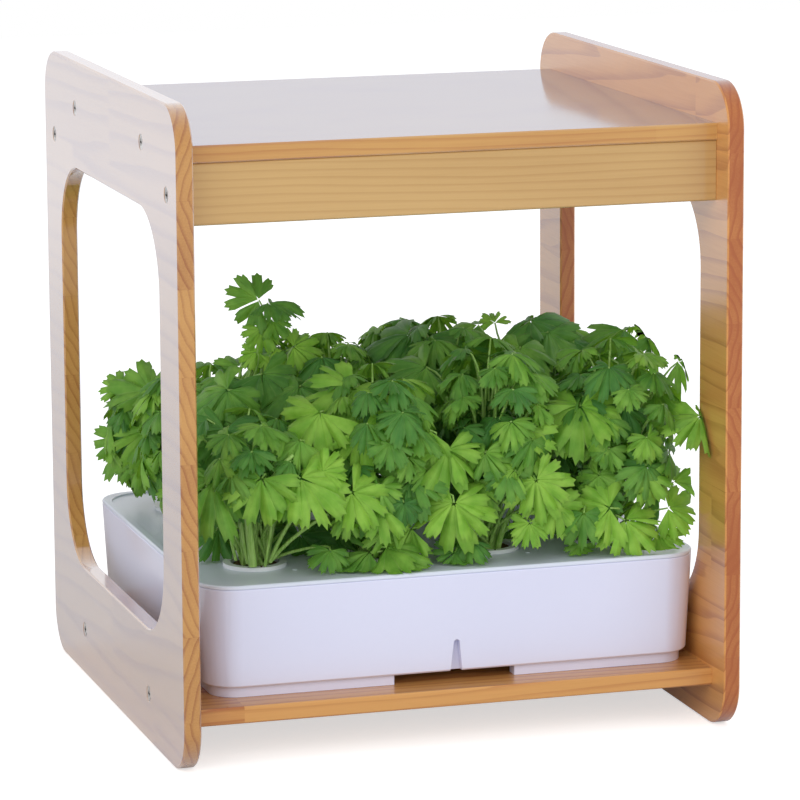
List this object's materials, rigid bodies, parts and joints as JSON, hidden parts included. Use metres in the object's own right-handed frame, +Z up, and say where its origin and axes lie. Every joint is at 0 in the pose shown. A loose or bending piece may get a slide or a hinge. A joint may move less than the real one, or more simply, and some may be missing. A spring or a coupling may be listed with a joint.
{
  "type": "indoor herb planter",
  "caption": "Table-top indoor herb planter: pine frame with a lamp under its top board, and a water tank with planted net cups on its shelf.",
  "frame": {"origin": "on the ground, at the middle of the wooden frame", "axes": "+X to the right and -Y to the front as the planter is used, +Z up"},
  "size_m": [0.352, 0.353, 0.4],
  "materials": {
    "pine": "gloss",
    "screw_steel": "satin",
    "lamp_metal": "satin",
    "led_board": "matte",
    "led_chip": "gloss",
    "diffuser": "satin",
    "white_plastic": "satin",
    "circuit_board": "satin",
    "black_plastic": "satin",
    "plated_ring": "polished",
    "button_plastic": "satin",
    "tank_plastic": "satin",
    "lid_plastic": "satin",
    "cup_plastic": "satin",
    "sponge": "matte",
    "leaf": "satin"
  },
  "bodies": {
    "frame": {"left_panel": "pine", "right_panel": "pine", "top_board": "pine", "front_rail": "pine", "rear_rail": "pine", "bottom_shelf": "pine", "panel_screws": "screw_steel", "lamp_housing": "lamp_metal", "led_board": "led_board", "led_chips": "led_chip", "lamp_diffuser": "diffuser", "lamp_screws": "screw_steel", "control_box": "white_plastic", "timer_board": "circuit_board", "power_socket": "black_plastic", "button_ring": "plated_ring"},
    "button": {"timer_button": "button_plastic"},
    "tank": {"water_tank": "tank_plastic"},
    "lid": {"tank_lid": "lid_plastic"},
    "cup_1": {"net_cup_1": "cup_plastic", "sponge_1": "sponge", "plant_1": "leaf"},
    "cup_2": {"net_cup_2": "cup_plastic", "sponge_2": "sponge", "plant_2": "leaf"},
    "cup_3": {"net_cup_3": "cup_plastic", "sponge_3": "sponge", "plant_3": "leaf"},
    "cup_4": {"net_cup_4": "cup_plastic", "sponge_4": "sponge", "plant_4": "leaf"},
    "cup_5": {"net_cup_5": "cup_plastic", "sponge_5": "sponge", "plant_5": "leaf"},
    "cup_6": {"net_cup_6": "cup_plastic", "sponge_6": "sponge", "plant_6": "leaf"},
    "cup_7": {"net_cup_7": "cup_plastic", "sponge_7": "sponge", "plant_7": "leaf"},
    "cup_8": {"net_cup_8": "cup_plastic", "sponge_8": "sponge", "plant_8": "leaf"},
    "cup_9": {"net_cup_9": "cup_plastic", "sponge_9": "sponge", "plant_9": "leaf"},
    "cup_10": {"net_cup_10": "cup_plastic", "sponge_10": "sponge", "plant_10": "leaf"},
    "cup_11": {"net_cup_11": "cup_plastic", "sponge_11": "sponge", "plant_11": "leaf"},
    "cup_12": {"net_cup_12": "cup_plastic", "sponge_12": "sponge", "plant_12": "leaf"}
  },
  "joints": [
    {"name": "tank_slide", "type": "slide", "parent": "frame", "child": "tank", "axis": [0, -1, 0], "range_m": [0, 0.3]},
    {"name": "lid_lift", "type": "slide", "parent": "tank", "child": "lid", "axis": [0, 0, 1], "range_m": [0, 0.03]},
    {"name": "button_press", "type": "slide", "parent": "frame", "child": "button", "axis": [0, -1, 0], "range_m": [0, 0.0015], "stiffness_N_per_m": 500},
    {"name": "cup_1_lift", "type": "slide", "parent": "lid", "child": "cup_1", "axis": [0, 0, 1], "range_m": [0, 0.044]},
    {"name": "cup_2_lift", "type": "slide", "parent": "lid", "child": "cup_2", "axis": [0, 0, 1], "range_m": [0, 0.044]},
    {"name": "cup_3_lift", "type": "slide", "parent": "lid", "child": "cup_3", "axis": [0, 0, 1], "range_m": [0, 0.044]},
    {"name": "cup_4_lift", "type": "slide", "parent": "lid", "child": "cup_4", "axis": [0, 0, 1], "range_m": [0, 0.044]},
    {"name": "cup_5_lift", "type": "slide", "parent": "lid", "child": "cup_5", "axis": [0, 0, 1], "range_m": [0, 0.044]},
    {"name": "cup_6_lift", "type": "slide", "parent": "lid", "child": "cup_6", "axis": [0, 0, 1], "range_m": [0, 0.044]},
    {"name": "cup_7_lift", "type": "slide", "parent": "lid", "child": "cup_7", "axis": [0, 0, 1], "range_m": [0, 0.044]},
    {"name": "cup_8_lift", "type": "slide", "parent": "lid", "child": "cup_8", "axis": [0, 0, 1], "range_m": [0, 0.044]},
    {"name": "cup_9_lift", "type": "slide", "parent": "lid", "child": "cup_9", "axis": [0, 0, 1], "range_m": [0, 0.044]},
    {"name": "cup_10_lift", "type": "slide", "parent": "lid", "child": "cup_10", "axis": [0, 0, 1], "range_m": [0, 0.044]},
    {"name": "cup_11_lift", "type": "slide", "parent": "lid", "child": "cup_11", "axis": [0, 0, 1], "range_m": [0, 0.044]},
    {"name": "cup_12_lift", "type": "slide", "parent": "lid", "child": "cup_12", "axis": [0, 0, 1], "range_m": [0, 0.044]}
  ]
}
